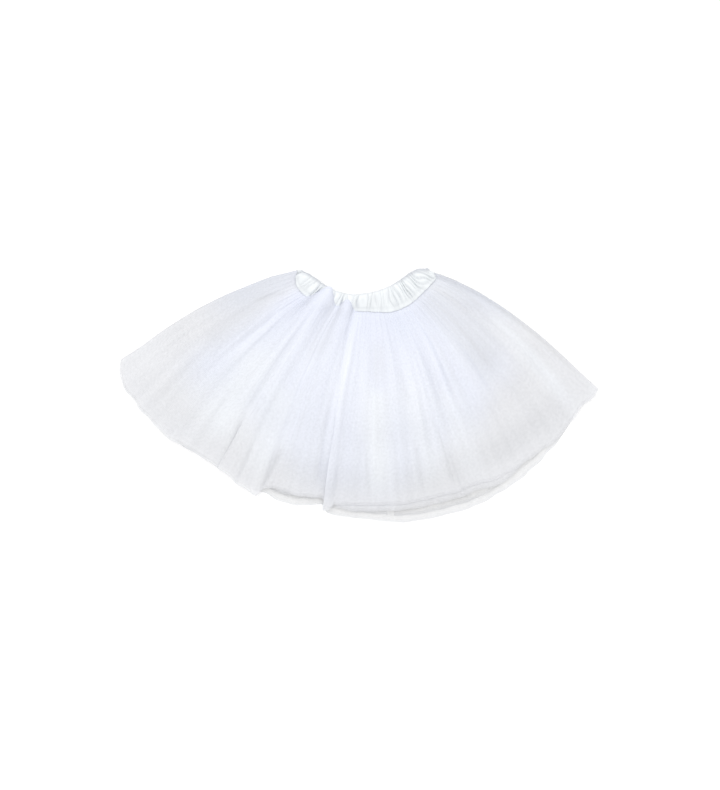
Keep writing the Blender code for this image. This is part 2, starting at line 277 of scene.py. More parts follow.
# %% The broad folds
FOLDS = table(
    "start peak height begins lean",
    (-58.2, 0.8, 4.0, 0.1, 0.0), (-54.0, 0.5, 7.0, 0.05, 0.1), (-50.5, 0.45, 9.0, 0.2, 0.2),
    (-46.5, 0.5, 8.0, 0.0, 0.2), (-43.0, 0.55, 11.0, 0.1, 0.3), (-39.0, 0.5, 10.0, 0.25, 0.2),
    (-35.5, 0.6, 16.0, 0.0, 0.5), (-29.8, 0.55, 10.0, 0.15, 0.4), (-25.2, 0.6, 14.0, 0.1, 0.5),
    (-19.7, 0.5, 9.0, 0.3, 0.2), (-14.5, 0.45, 12.0, 0.05, 0.0), (-9.0, 0.45, 18.0, 0.0, -0.4),
    (-5.0, 0.55, 10.0, 0.2, -0.3), (-0.5, 0.5, 15.0, 0.05, -0.1), (4.5, 0.5, 17.0, 0.0, 0.1),
    (10.6, 0.5, 12.0, 0.15, 0.1), (15.5, 0.55, 15.0, 0.05, -0.3), (20.4, 0.5, 9.0, 0.3, -0.4),
    (23.3, 0.45, 14.0, 0.0, -0.5), (28.0, 0.5, 11.0, 0.2, -0.3), (32.2, 0.45, 14.0, 0.05, -0.4),
    (37.0, 0.5, 11.0, 0.15, -0.3), (41.5, 0.5, 12.0, 0.0, -0.3), (46.4, 0.5, 8.0, 0.15, -0.1),
    (49.6, 0.45, 5.0, 0.1, 0.0),
)
VALLEYS = np.append(column(FOLDS, "start"), RIGHT_HEM)
CRESTS = VALLEYS[:-1] + column(FOLDS, "peak") * np.diff(VALLEYS)
FOLD_OPENS_OVER = 0.5  # of the length
FIRST_GATHER = 0.2  # how open a fold is from the start
BROAD = 0.78  # the share of a fold's height that springy net keeps in the valleys beside it
LOFT = 9.0
LOFT_TOP = 0.6  # the share of the length where the net stands highest
HEM_LOFT = 0.7  # what is left of the loft at the hem


def loft(place, share):
    """How far springy net lifts the front: sqrt(1 - (2 place - 1)^2) across, and greatest at LOFT_TOP."""
    sideways = np.sqrt(np.clip(1.0 - (2.0 * place - 1.0) ** 2, 0.0, 1.0))
    lost = (1.0 - HEM_LOFT) * ramp(share, LOFT_TOP, 1.0 - LOFT_TOP)
    return LOFT * sideways * smooth(share / LOFT_TOP) * (1.0 - lost)


def crest_reading(place, name, mixing=0.0):
    """A column of the folds' table, read smoothly from crest to crest, with each row mixed with its
    neighbours."""
    known = np.concatenate([[0.0], across(CRESTS), [1.0]])
    readings = np.concatenate([[0.0], column(FOLDS, name), [0.0]])
    readings[1:-1] += mixing * (0.5 * (readings[:-2] + readings[2:]) - readings[1:-1])
    return rounded(place, known, readings)


def broad_folds(place, share):
    """(height, tip to the right): BROAD of the crests' evened height all over, and the rest as each fold's
    hump, a squared sine that peaks at its crest and opens along its length."""
    starts = across(VALLEYS)
    which = np.clip(np.searchsorted(starts, place, side="right") - 1, 0, len(FOLDS) - 1)
    inside = np.clip((place - starts[which]) / (starts[which + 1] - starts[which]), 0.0, 1.0)
    turned = math.pi * inside ** (math.log(0.5) / np.log(column(FOLDS, "peak")[which]))
    hump = np.sin(turned) ** 2
    opening = ramp(share, crest_reading(place, "begins"), FOLD_OPENS_OVER)
    opened = FIRST_GATHER + (1.0 - FIRST_GATHER) * opening
    own = (1.0 - BROAD) * crest_reading(place, "height") * hump
    height = opened * (BROAD * crest_reading(place, "height", 0.7) + own)
    return height, 0.5 * height * crest_reading(place, "lean")


print(len(FOLDS), "folds, up to", column(FOLDS, "height").max(), "mm high")

# %% [markdown]
# Over the folds run soft ridges, troughs and narrow creases, where the net was pressed or tucked. Random
# noise would look like crumpled paper, so each is placed one by one: the angle and share of its first end,
# then of its last, its height, and its width.

# %% Soft ridges, troughs and creases, each listed
LINE = "angle share to_angle to_share rise width"
RELIEFS = table(
    LINE,
    (-52.7, 0.24, -49.5, 0.04, -1.5, 3.0), (-50.5, 0.7, -53.5, 0.2, 1.0, 9.0),
    (-48.2, 0.02, -43.5, 0.46, 2.2, 5.0), (-47.6, 0.35, -46.2, 0.97, -4.0, 9.0),
    (-45.5, 0.1, -41.0, 0.3, -1.2, 3.4), (-42.0, 0.55, -41.0, 1.0, 1.8, 8.0),
    (-38.5, 0.15, -37.5, 0.6, -1.4, 5.0), (-35.5, 0.2, -33.5, 0.75, 2.2, 9.0),
    (-29.2, 0.18, -30.3, 0.72, -0.9, 2.6), (-30.2, 0.7, -30.1, 1.08, -2.6, 2.2),
    (-27.8, 0.62, -27.6, 1.02, 1.2, 3.4), (-25.7, 0.78, -25.7, 1.04, -1.6, 2.6),
    (-23.5, 0.35, -22.5, 0.7, 1.6, 7.0), (-22.5, 0.78, -22.0, 1.02, 1.2, 4.0),
    (-20.0, 0.1, -16.0, 0.45, -1.2, 4.0), (-19.2, 0.76, -20.8, 1.04, -2.0, 2.8),
    (-16.5, 0.62, -14.5, 1.0, -1.6, 8.0), (-13.5, 0.04, -7.6, 0.62, 2.0, 4.5),
    (-10.4, 0.45, -8.9, 1.02, -1.9, 4.5), (-6.8, 0.22, -4.8, 0.72, -2.4, 5.0),
    (-4.6, 0.62, -4.4, 1.0, -1.2, 4.0), (-2.6, 0.3, 0.2, 0.72, 1.8, 5.0),
    (-0.2, 0.7, 0.9, 0.99, -0.9, 2.6), (1.2, 0.66, 2.2, 0.99, 0.8, 2.4), (4.5, 0.15, 5.0, 0.7, 1.3, 8.0),
    (6.5, 0.75, 6.0, 1.02, -1.0, 4.0), (10.7, 0.3, 11.3, 0.5, -0.7, 2.4),
    (10.1, 0.66, 10.3, 1.0, 0.8, 1.8), (11.0, 0.66, 11.2, 1.0, -1.2, 3.0),
    (14.0, 0.4, 13.2, 0.8, 1.1, 5.0), (17.2, 0.62, 18.0, 0.98, -1.7, 2.6),
    (18.2, 0.72, 19.3, 1.03, -1.3, 2.0), (19.4, 0.6, 20.6, 1.0, 1.6, 3.2),
    (22.3, 0.3, 20.0, 0.5, 1.3, 3.0), (26.0, 0.05, 25.0, 0.38, -1.4, 4.0),
    (27.5, 0.45, 28.5, 0.85, 1.2, 7.0), (34.3, 0.55, 35.0, 1.0, -1.9, 6.0),
    (36.0, 0.08, 33.0, 0.4, -1.3, 5.0), (39.5, 0.5, 39.0, 0.95, 1.3, 6.0),
    (44.2, 0.88, 43.6, 1.02, -0.8, 2.6), (45.0, 0.6, 45.6, 1.0, 1.6, 4.0),
    (49.4, 0.05, 47.6, 0.32, -1.6, 3.0), (46.2, 0.04, 44.4, 0.26, 1.6, 2.5),
    (44.6, 0.05, 42.9, 0.26, -0.8, 2.8), (50.5, 0.45, 49.5, 0.95, -1.0, 5.0),
)
RELIEF = 0.7  # how much of each rise the springy net takes up
CREASE_WIDTH = 3.2  # a trough narrower than this is a crease
CREASES = [row for row in RELIEFS if row.rise < 0.0 and row.width < CREASE_WIDTH]


def streaks(rows, place, share, radius):
    """The sum, over rows, of rise exp(-(distance / width)^2) beside the row's line, faded over a quarter of
    its length at each end."""
    total = np.zeros_like(place)
    for row in rows:
        first, last = sorted([(row.share, row.angle), (row.to_share, row.to_angle)])
        run = (share - first[0]) / (last[0] - first[0])
        line = across(first[1] + (last[1] - first[1]) * np.clip(run, 0.0, 1.0))
        away = np.radians((place - line) * HEM_SPAN) * radius
        faded = smooth(run / 0.25) * smooth((1.0 - run) / 0.25)
        total += row.rise * np.exp(-((away / row.width) ** 2)) * faded
    return total


print(len(RELIEFS), "ridges and troughs,", len(CREASES), "of them creases")

# %% [markdown]
# Some folds have fallen over, so that the cloth runs on, back and on again. Three show in front, and the
# hidden back has seven of the same kind.

# %% Folds that have fallen over
FALLEN = "angle to_angle begins ends overlap height width faces"
FRONT_FALLEN = table(
    FALLEN,
    (-29.6, -30.1, 0.62, 1.6, 3.0, 0.6, 6.0, -1), (-19.6, -19.0, 0.76, 1.5, 3.0, 0.8, 6.5, -1),
    (-8.9, -7.6, 0.52, 1.6, 6.0, 1.6, 10.0, -1),
)
BACK_FALLEN = table(
    FALLEN,
    (-44.0, -44.0, 0.2, 1.4, 3.5, 0.5, 7.0, 1), (-31.0, -31.0, 0.4, 1.4, 4.5, 0.6, 9.0, -1),
    (-17.0, -17.0, 0.1, 0.95, 3.0, 0.5, 7.0, -1), (-3.0, -3.0, 0.3, 0.98, 3.0, 0.5, 7.0, 1),
    (9.6, 9.6, 0.25, 0.98, 3.5, 0.5, 7.0, 1), (23.0, 23.0, 0.35, 0.98, 3.0, 0.4, 7.0, -1),
    (38.0, 38.0, 0.15, 0.95, 4.0, 0.6, 8.0, 1),
)
FALLS_OVER = 0.35  # of the length, from where one begins to where it lies flat


def fallen_folds(rows, place, share, radius, strength=1.0):
    """(height, move to the right) of folds where the cloth runs on, back and on again: for t from -1 to 1
    across one, it moves by -overlap sin(pi t) cos(pi t / 2)^2, and climbs as it turns."""
    height, move = np.zeros_like(place), np.zeros_like(place)
    for row in rows:
        line = across(row.angle + (row.to_angle - row.angle) * share)
        begun, lasts = ramp(share, row.begins, FALLS_OVER), smooth((row.ends - share) / FALLS_OVER)
        opened = strength * begun * lasts
        away = np.radians((place - line) * HEM_SPAN) * radius * row.faces
        t = away / (row.width * (0.45 + 0.55 * opened))
        eased = math.pi * np.clip(t, -1.0, 1.0)
        move -= row.faces * row.overlap * opened * np.sin(eased) * np.cos(eased / 2.0) ** 2
        height += row.height * opened * smooth(t + 0.5) * (1.0 - ramp(t, 0.5, 2.5))
    return height, move


print("fallen folds:", len(FRONT_FALLEN), "in front,", len(BACK_FALLEN), "behind")

# %% [markdown]
# ## How white the net looks, with its light and shade painted
#
# White net isn't one white. Where dozens of plies lie on each other they look cool and clean, in the
# gathers deeper and bluer, and towards the hem and the sides, where there are few, a plain grey comes
# through. The reason is how often light bounces between the plies, and the shade they cast on each other
# and on the floor, which the few drawn here can't show. So that light and shade is painted: each point of
# the cloth has its own colour, mixed from seven named whites, and a table of bands paints the net whiter,
# as painted light, and duller, as painted shade.

# %% Seven whites of painted light and shade, and bands painted whiter or duller
# Painted light and shade: body and doubled are the net's white with the light between many plies painted in;
# gathered is painted shade deep in the gathers; side, corner and back are greyer, painted shade where few
# plies lie over the floor; the last is the painted shade of a crease.
LIGHT_AND_SHADE_WHITES = SimpleNamespace(
    body=(0.875, 0.90, 0.98),
    doubled=(0.935, 0.96, 1.0),
    gathered=(0.78, 0.81, 0.915),
    side=(0.865, 0.87, 0.895),
    corner=(0.76, 0.78, 0.84),
    back=(0.89, 0.89, 0.885),
    painted_crease_shade=(0.68, 0.69, 0.715),
)
# Bands of painted light where the rise is above 0, and of painted shade where it is below 0.
LIGHT_AND_SHADE_BANDS = table(
    LINE,
    (1.8, 0.28, 3.0, 1.02, 1.0, 17.0), (-36.5, 0.3, -33.0, 0.96, 0.8, 24.0),
    (-25.0, 0.42, -23.0, 0.98, 0.6, 22.0), (-40.0, 0.55, -38.0, 1.02, 0.3, 20.0),
    (12.5, 0.3, 14.0, 0.98, 0.65, 22.0), (22.0, 0.4, 22.5, 1.02, 0.5, 18.0),
    (46.4, 0.22, 46.0, 1.04, 0.6, 11.0), (-11.0, 0.6, -10.0, 1.04, -0.1, 14.0),
    (38.0, -0.1, 37.5, 0.61, -1.7, 25.0), (-21.0, -0.05, -20.5, 0.34, -0.8, 14.0),
    (3.0, 0.12, 3.0, 0.46, -0.7, 10.0), (-49.5, 0.06, -49.0, 0.6, -0.9, 16.0),
)
print("tints:", list(vars(LIGHT_AND_SHADE_WHITES)))

# %% The painted light and shade of each point
CREASE_SHADE = 0.17  # for each millimetre of a crease's depth
HEM_SHADE = 0.30  # painted shade at the front's hem, as a share of the way to a crease's painted shade
# painted shade at the back's hem, beyond the front's
BACK_HEM_SHADE = 0.35
RAW_END_SHADE = (0.25, 0.55)  # painted shade at the cut edge, in front and behind
SEWN_END_SHADE = 0.06  # painted shade under the band's lower edge, where it holds the net
RIGHT_HEM_LIGHTER = 0.5  # of the painted shade at the hem, towards the right side
SINGLE_SHADE = 0.3  # painted shade for each unit the bands fall below zero
STREAKED = 0.06  # how uneven the plies are, in fine streaks down the skirt


def mixed(first, second, share):
    """first + (second - first) share, for colours."""
    return first + (np.array(second) - first) * share[..., None]


def front_light_and_shade(place, share, from_side, inner):
    """The front's painted light and shade before creases: the side's grey, then the body's white, and the
    side's grey again towards the hem, with painted shade deeper in the gathers and at the two upper corners."""
    middle = ramp(from_side, 0.25, 0.2)
    plain_from = 0.58 + 0.22 * middle - 0.12 * ramp(place, 0.75, 0.1)
    light_and_shade_tint = mixed(np.array(LIGHT_AND_SHADE_WHITES.side), LIGHT_AND_SHADE_WHITES.body, inner * (1.0 - ramp(share, plain_from, 0.26)))
    light_and_shade_tint = mixed(light_and_shade_tint, LIGHT_AND_SHADE_WHITES.gathered, inner * (1.0 - smooth(share / 0.36)))
    return mixed(light_and_shade_tint, LIGHT_AND_SHADE_WHITES.corner, (1.0 - inner) * (1.0 - ramp(share + 1.2 * from_side, 0.25, 0.35)))


def net_light_and_shade(skirt, place, share, is_front, crease_shade_depth, doubled):
    """The colour at each point, with its light and shade painted: the front's or the back's, painted whiter
    along the bands, and mixed towards a crease's painted shade by the sum of the painted shade of its
    creases, hems and ends and of the duller bands, and its fine random streaks."""
    from_side = np.minimum(place, 1.0 - place)
    inner = ramp(from_side, 0.04, 0.09)
    double = np.clip(doubled, 0.0, 1.0)
    light_and_shade_tint = mixed(front_light_and_shade(place, share, from_side, inner), LIGHT_AND_SHADE_WHITES.doubled, double)
    light_and_shade_tint = mixed(light_and_shade_tint, LIGHT_AND_SHADE_WHITES.back, 1.0 * ~is_front)
    # Painted shade towards the front's hem, and at the back's hem beyond it.
    hem = HEM_SHADE * ramp(share, 0.55, 0.4) * (0.4 + 0.6 * smooth(from_side / 0.12)) * is_front
    hem = hem * (0.72 + 0.28 * ramp(place, 0.3, 0.15)) * (1.0 - 0.55 * double)
    hem = hem + BACK_HEM_SHADE * ramp(share, 0.92, 0.06) * ~is_front
    # Painted shade at the cut ends, and under the band's lower edge, where it holds the net.
    ends = np.where(is_front, *RAW_END_SHADE) * ramp(share, 0.98, 0.02)
    ends = ends + SEWN_END_SHADE * smooth(1.0 - share / 0.015) * inner * is_front
    # Fine random streaks, and painted shade where the bands paint the net duller.
    uneven = STREAKED * (1.0 + wander(place, share, skirt.seed + 8, fine=60.0, terms=24))
    uneven = uneven + SINGLE_SHADE * np.clip(-doubled, 0.0, 2.0)
    at_right = ramp(place, 0.7, 0.08) * (1.0 - ramp(place, 0.86, 0.06))
    at_right = at_right * (is_front | (skirt.shorter > 0.0))
    kept = 1.0 - RIGHT_HEM_LIGHTER * at_right * ramp(share, 0.9, 0.05)
    shade = CREASE_SHADE * crease_shade_depth + (hem + ends) * kept + uneven
    return mixed(light_and_shade_tint, LIGHT_AND_SHADE_WHITES.painted_crease_shade, np.clip(shade, 0.0, 1.0))


print("half doubled net:", mixed(np.array(LIGHT_AND_SHADE_WHITES.body), LIGHT_AND_SHADE_WHITES.doubled, np.array(0.5)).round(3))


# %% How many plies a ply stands for
HEM_PLIES = 1.7  # at the front's hem, where several strips end close together
FRAYED = (0.8, 0.4)  # how many of them end before the last one does, in front and behind


def hem_plies(share, is_front):
    """1, rising to HEM_PLIES at the front's hem, less FRAYED where they end one by one."""
    more = (HEM_PLIES - 1.0) * is_front * ramp(share, 0.6, 0.3)
    return 1.0 + more - np.where(is_front, *FRAYED) * ramp(share, 0.975, 0.025)


print("plies down the front:", hem_plies(np.linspace(0.0, 1.0, 6), True).round(2))

# %% [markdown]
# ## One flattened skirt
#
# The outer and the inner skirt differ in a few numbers: how high the front and the back lie, how full the
# folds are, how much shorter the hem is, how many gathers there are, and the size of the flat cut. In two
# places the outer front has been pushed up over the band in a soft puff.

# %% What tells the skirts apart, and where the net begins and ends
SKIRTS = table(
    "name seed front back fullness shorter gathers fallen cut",
    ("outer_tulle", 11, 5.0, 0.4, 1.0, 0.0, 62, FRONT_FALLEN, (1.55, 0.26)),
    ("inner_tulle_net", 23, 3.3, 1.6, 0.5, 9.0, 54, FRONT_FALLEN[:1], (1.44, 0.24)),
)
PUFFED_OVER_BAND = table("angle half_width reach", (-24.6, 6.0, 24.5), (-11.0, 4.0, 14.5))
FLAT_TOPPED = 2.6  # the power that makes a bell's top flat
SIDE_TOP = 123.0  # the radius where the folds at the sides begin, past the band's ends
PAST_BAND = 0.012  # how much of the width lies past each of its ends
UNDER_BAND = 0.8  # how far it reaches under the band's lower edge
PEEPS = 1.9  # how many times its own shorter an inner front drops, where the back hem shows


def puffed_over(place):
    """How far up over the band the front ply has been pushed, in millimetres: a flat-topped bell each."""
    angle = angle_at(place, 0.0 * place)
    away = [np.abs((angle - row.angle) / row.half_width) for row in PUFFED_OVER_BAND]
    return sum(row.reach * np.exp(-(far**FLAT_TOPPED)) for row, far in zip(PUFFED_OVER_BAND, away))


def band_edge(angle, name):
    """The radius of the band's upper or lower edge at an angle."""
    return rounded(angle, column(BAND_EDGES, "angle"), column(BAND_EDGES, name))


def top_radius(place):
    """Where the tulle starts: just under the band, and up past its ends at the sides."""
    under = band_edge(angle_at(place, 0.0 * place), "lower") - UNDER_BAND
    past = np.clip(1.0 - np.minimum(place, 1.0 - place) / PAST_BAND, 0.0, 1.0)
    return under - (under - SIDE_TOP) * past**1.5


def hem_of(skirt, place, is_front):
    """The hem's radius: shorter than the tables' by the skirt's own number, but past the front's where the
    back shows."""
    front, back = [rounded(place, across(column(rows, "angle")), column(rows, "radius")) for rows in HEMS]
    peeping = PEEPS * ramp(back - front, 8.0, 10.0) * is_front
    return np.where(is_front, front, back) + skirt.shorter * (peeping - 1.0)


hems = [hem_of(skirt, np.array([across(0.0)]), True)[0].round(1) for skirt in SKIRTS]
print("radius of the two hems in front, in the middle:", hems)


# %% Columns round the flattened tube
FRONT_SHARE = 0.66  # of the columns, since the front is what is seen
CROWDED = 0.045  # how much closer the columns are at the sides


def round_places(columns):
    """(place across, is it on the front) for columns along the front and back along the back, closer together
    where the cloth turns over at a side."""
    on_front = int(columns * FRONT_SHARE)
    there = np.arange(on_front) / on_front
    back = np.arange(columns - on_front) / (columns - on_front)
    place = np.concatenate([there, 1.0 - back])
    place = place - CROWDED * np.sin(2.0 * math.pi * place) / math.pi
    return place, np.arange(columns) < on_front


print("columns on the front of 100:", int(round_places(100)[1].sum()))

# %% [markdown]
# Over a hundred close gathers hang from the seam: a cosine across the garment, nearly gone a third of the
# way down. A steady one would look machined, so its spacing and depth wander.

# %% Close gathers
GATHER_DEPTH = 0.28  # millimetres, at the band
GATHER_TAIL = 0.07  # and further down
GATHER_REACH = 0.30  # of the length


def gathers(skirt, place, share):
    """(phase, depth, ripple) of the close gathers: ripple is depth cos(phase), and a slower sine of half the
    phase, so that no two are alike."""
    drift = 0.6 * wander(place, share, skirt.seed, 5.0)
    drift = drift + 0.5 * wander(place, share, skirt.seed + 1, 14.0) * share
    phase = 2.0 * math.pi * (skirt.gathers * place + drift)
    tail = GATHER_TAIL * (1.0 + 0.8 * wander(place, share, skirt.seed + 2, 11.0))
    depth = GATHER_DEPTH * (1.0 - smooth(share / GATHER_REACH)) + tail
    depth = np.maximum(depth, 0.02) * np.minimum(1.0, 0.25 + share / 0.04)
    second = 0.5 * GATHER_TAIL * np.sin(0.5 * phase + 1.3)
    second = second * (1.0 + 0.7 * wander(place, share, skirt.seed + 6, 9.0))
    return phase, depth, depth * np.cos(phase) + second


print("gathers round the front:", [skirt.gathers for skirt in SKIRTS])

# %% [markdown]
# Now the terms come together. The front's height is its own level and all that lifts it, and the back lies
# almost flat. Near each side both close up in a half circle, at the band the front comes down to where it
# is sewn, and towards the hem all plies settle on each other.

# %% The height of each ply
SIDE_ROUND = 0.011  # how much of the width each side takes to turn over
PLEAT, CRUMPLE = 2.2, 0.25  # how far the net's own pleats lift it, and its fine crumple
BACK_PLEATS = 0.2  # of the gathers run on down the back as a low pleat
WAVER = 0.0035  # how far the folds' lines stray, as a share of the width
HEM_DROOP = 0.84  # how much of the folds' height is lost where the free hem sinks
HEM_SETTLES = 0.42  # and by how much all its plies close up
FLATTER_AT_RIGHT = 0.32  # how much more at the lower right
SEWN_UNDER = 0.56  # its height where the band holds it, as a share of its front's
SEWN_OVER = 0.028  # of the length, where it comes down to that
RIDE_HEIGHT = 11.5  # where net puffed over the band clears it
RIDES_FROM, RIDES_OVER = 13.0, 16.0  # how far it has to be pushed, and how far past the band it settles
LOWEST = 0.15  # above the floor


def front_height(skirt, place, share, radius, gathered, fallen):
    """The front ply's height over the floor: level + pleats + fullness (folds, loft, fallen folds, ridges) +
    gathers and crumple, pulled down to the seam over the first few millimetres."""
    depth, ripple = gathered
    wavering = place + WAVER * wander(place, share, skirt.seed + 7, 4.0) * np.sin(math.pi * place)
    height, tip = broad_folds(np.clip(wavering, 0.0, 1.0), share)
    pressed = RELIEF * streaks(RELIEFS, place, share, radius)
    crumple = CRUMPLE * wander(place, share, skirt.seed + 3, fine=26.0, terms=12) * smooth(share / 0.3)
    sunk = 1.0 - HEM_DROOP * ramp(share, 0.74, 0.26)
    lifted = (height + loft(place, share)) * sunk + fallen + pressed
    front = skirt.front + PLEAT * smooth(share) + skirt.fullness * lifted
    front = front + (ripple + depth + crumple) * (0.5 + 0.5 * skirt.fullness)
    sewn = SEWN_UNDER * skirt.front
    return sewn + (front - sewn) * (0.1 + 0.9 * smooth(share / SEWN_OVER)), tip


def back_height(skirt, share, phase, gathered):
    """The back ply's height: its level, and low pleats, BACK_PLEATS of the gathers' number."""
    depth, ripple = gathered
    under = smooth(share) * (0.5 + 0.5 * np.sin(BACK_PLEATS * phase + 2.0))
    return skirt.back + (0.2 + 0.8 * under) * (PLEAT * under + 0.35 * (ripple + depth))


def ridden(front, over_band, past_top, past_band):
    """The front's height where it rides over the band, with an edge that curls down as a square root."""
    riding = smooth(over_band / RIDES_FROM) * smooth(1.0 - past_band / RIDES_OVER)
    curled = np.sqrt(np.clip(past_top / 5.0, 0.0, 1.0))
    return front + riding * np.maximum(RIDE_HEIGHT * (0.35 + 0.65 * curled) - front, 0.0)


print("net puffed over the band lies", ridden(5.0, RIDES_FROM, 5.0, 0.0), "mm high")

# %% The points of a skirt
CLOSER_AT_BAND = 1.15  # the power that sets rows closer together there
FLUTTER = 0.8  # how uneven the hem's edge is


def skirt_points(skirt, columns, rows):
    """(points, plies, painted light and shade) of one skirt, rows down and columns round. Near a side both
    plies close up in a half circle, sqrt(1 - (1 - t)^2)."""
    place, is_front = round_places(columns)
    place, share = np.meshgrid(place, np.linspace(0.0, 1.0, rows) ** CLOSER_AT_BAND)
    is_front = np.broadcast_to(is_front, place.shape)
    over_band = np.where(is_front, skirt.fullness**3 * puffed_over(place), 0.0)
    top = top_radius(place) - over_band
    radius = top + (hem_of(skirt, place, is_front) - top) * share
    from_side = np.clip(np.minimum(place, 1.0 - place) / SIDE_ROUND, 0.0, 1.0)
    apart = np.sqrt(1.0 - (1.0 - from_side) ** 2)

    phase, depth, ripple = gathers(skirt, place, share)
    fallen, move = fallen_folds(skirt.fallen, place, share, radius, min(1.0, 0.4 + 0.6 * skirt.fullness))
    fallen_back, move_back = fallen_folds(BACK_FALLEN, place, share, radius)
    front, tip = front_height(skirt, place, share, radius, (depth, ripple), fallen)
    front = ridden(front, over_band, radius - top, radius - top_radius(place))
    back = back_height(skirt, share, phase, (depth, ripple)) + fallen_back
    middle = (skirt.front + skirt.back) / 2.0
    level = middle + (np.where(is_front, front, back) - middle) * apart
    closes = HEM_SETTLES + FLATTER_AT_RIGHT * (ramp(place, 0.74, 0.06) - ramp(place, 0.9, 0.05))
    level = np.maximum(level * (1.0 - closes * ramp(share, 0.8, 0.2)), LOWEST)

    sideways = np.where(is_front, skirt.fullness * tip + move, move_back)
    flutter = FLUTTER * wander(place, share, skirt.seed + 4, fine=30.0, terms=10) * ramp(share, 0.6, 0.4)
    angle = angle_at(place, share) + np.degrees(sideways * apart / radius)
    x, y = to_floor(angle, radius + flutter * apart)
    # The creases' depth and the bands, for the painted shade and light in the colour.
    crease_shade_depth = -skirt.fullness * streaks(CREASES, place, share, radius)
    doubled = streaks(LIGHT_AND_SHADE_BANDS, place, share, radius)
    light_and_shade_tint = net_light_and_shade(skirt, place, share, is_front, crease_shade_depth, doubled)
    return np.stack([x, y, level], axis=2), hem_plies(share, is_front), light_and_shade_tint


print("a coarse skirt's highest point:", skirt_points(SKIRTS[0], 200, 20)[0][..., 2].max().round(1), "mm")

# %% [markdown]
# ## From points to cloth
#
# A grid of points becomes a mesh with three more things on it. The UV map is the flat cut, in metres: how
# far round the strip and down it each point was before it was gathered. The attribute `cover` says how much
# the net hides: where the cut is squeezed into less width, its threads lie closer. A colour attribute holds
# the white worked out above, with its light and shade painted in. All could be painted by hand, but computed
# ones follow every change to the folds.

# %% How much a ply covers
NET_COVER = 0.60  # of one flat ply
FEWEST, MOST = 0.6, 4.0  # plies in one
EVENED_OVER = 12  # columns on either side


def steps_round(points, reach=EVENED_OVER):
    """The distance from each point to the next one round its row, averaged over reach neighbours on either
    side."""
    step = np.linalg.norm(np.roll(points, -1, axis=1) - points, axis=2)
    ring = np.concatenate([step[:, -reach:], step, step[:, :reach]], axis=1)
    total = np.cumsum(np.concatenate([np.zeros_like(ring[:, :1]), ring], axis=1), axis=1)
    return (total[:, 2 * reach + 1 :] - total[:, : -2 * reach - 1]) / (2 * reach + 1)


def net_cover(points, cut_width, plies):
    """1 - (1 - NET_COVER)^n, where n is the plies times how much wider the cut is than the cloth there."""
    step = steps_round(points)
    fullness = cut_width * step[-1] / step[-1].sum() / np.maximum(step, 1e-9)
    return 1.0 - (1.0 - NET_COVER) ** np.clip(fullness * plies, FEWEST, MOST)


print("two flat plies cover", round(1.0 - (1.0 - NET_COVER) ** 2, 2))


# %% From a grid of points to the two skirts
def grid_piece(name, points, closed_down, round_cut, down_cut):
    """An object from a grid of points in millimetres that closes round its columns, and round its rows too if
    closed_down. Its UV map, cut, reads round_cut and down_cut, in metres."""
    rows, columns = points.shape[:2]
    down, over = np.meshgrid(np.arange(rows if closed_down else rows - 1), np.arange(columns), indexing="ij")
    below, after = (down + 1) % rows, (over + 1) % columns
    corners = [down * columns + over, below * columns + over, below * columns + after, down * columns + after]
    mesh = bpy.data.meshes.new(name)
    mesh.from_pydata((points * MM).reshape(-1, 3), [], np.stack(corners, axis=2).reshape(-1, 4))
    mesh.polygons.foreach_set("use_smooth", np.ones(len(mesh.polygons), dtype=bool))

    near, far, top, bottom = round_cut[over], round_cut[over + 1], down_cut[down], down_cut[down + 1]
    flat = np.stack([near, top, near, bottom, far, bottom, far, top], axis=2)
    mesh.uv_layers.new(name="cut").data.foreach_set("uv", flat.astype(np.float32).ravel())
    mesh.update()
    return placed(name, mesh)


def keep(piece, name, kind, reads, values):
    """Keeps a number or a colour for each point of a piece, as an attribute."""
    made = piece.data.attributes.new(name, kind, "POINT")
    made.data.foreach_set(reads, values.astype(np.float32).ravel())


COLUMNS, ROWS = 1640, 60


def sew_skirt(skirt):
    """One skirt as a piece, with its cut, its cover and its painted light and shade on it."""
    points, plies, light_and_shade_tint = skirt_points(skirt, COLUMNS, ROWS)
    step = steps_round(points[-1:])[0]
    round_cut = np.concatenate([[0.0], np.cumsum(step)]) / step.sum() * skirt.cut[0]
    piece = grid_piece(skirt.name, points, False, round_cut, np.linspace(0.0, skirt.cut[1], ROWS))
    keep(piece, "cover", "FLOAT", "value", net_cover(points, skirt.cut[0] / MM, plies))
    # The colour with its painted light and shade, kept on the piece.
    opaque = np.concatenate([light_and_shade_tint, np.ones_like(light_and_shade_tint[..., :1])], axis=-1)
    keep(piece, "light_and_shade_tint", "FLOAT_COLOR", "color", opaque)
    print(skirt.name, 2 * len(piece.data.polygons), "triangles and a hem of", round(step.sum() * MM, 3), "m")
    return piece


outer_tulle, inner_tulle = [sew_skirt(skirt) for skirt in SKIRTS]

# %% [markdown]
# ## Waistband
#
# The band is shiny satin, sewn into a casing round a flat elastic that pulls it short, so it bunches into
# narrow puffs with a sharp crease between each two. A bump on a plain strip would keep a plain outline, so
# the bunching is real: one closed surface, along the front and back along the back, and round the casing
# down the outside and up the inside. Puffs all alike would look like piping, so each has a size, and each
# crease a depth, of its own.

# %% The bunched satin
PUFFS = 27  # on each side of the loop
MORE_AT_RIGHT = 4.0  # creases, towards the right end
SPLIT_RATE = 2.37  # how many smaller folds split each puff


def scattered(number):
    """A number between 0 and 1 for each given one, in no order: the fraction of 9973 sin(12.99 number +
    1)."""
    return np.abs(np.modf(9973.0 * np.sin(12.99 * number + 1.0))[0])


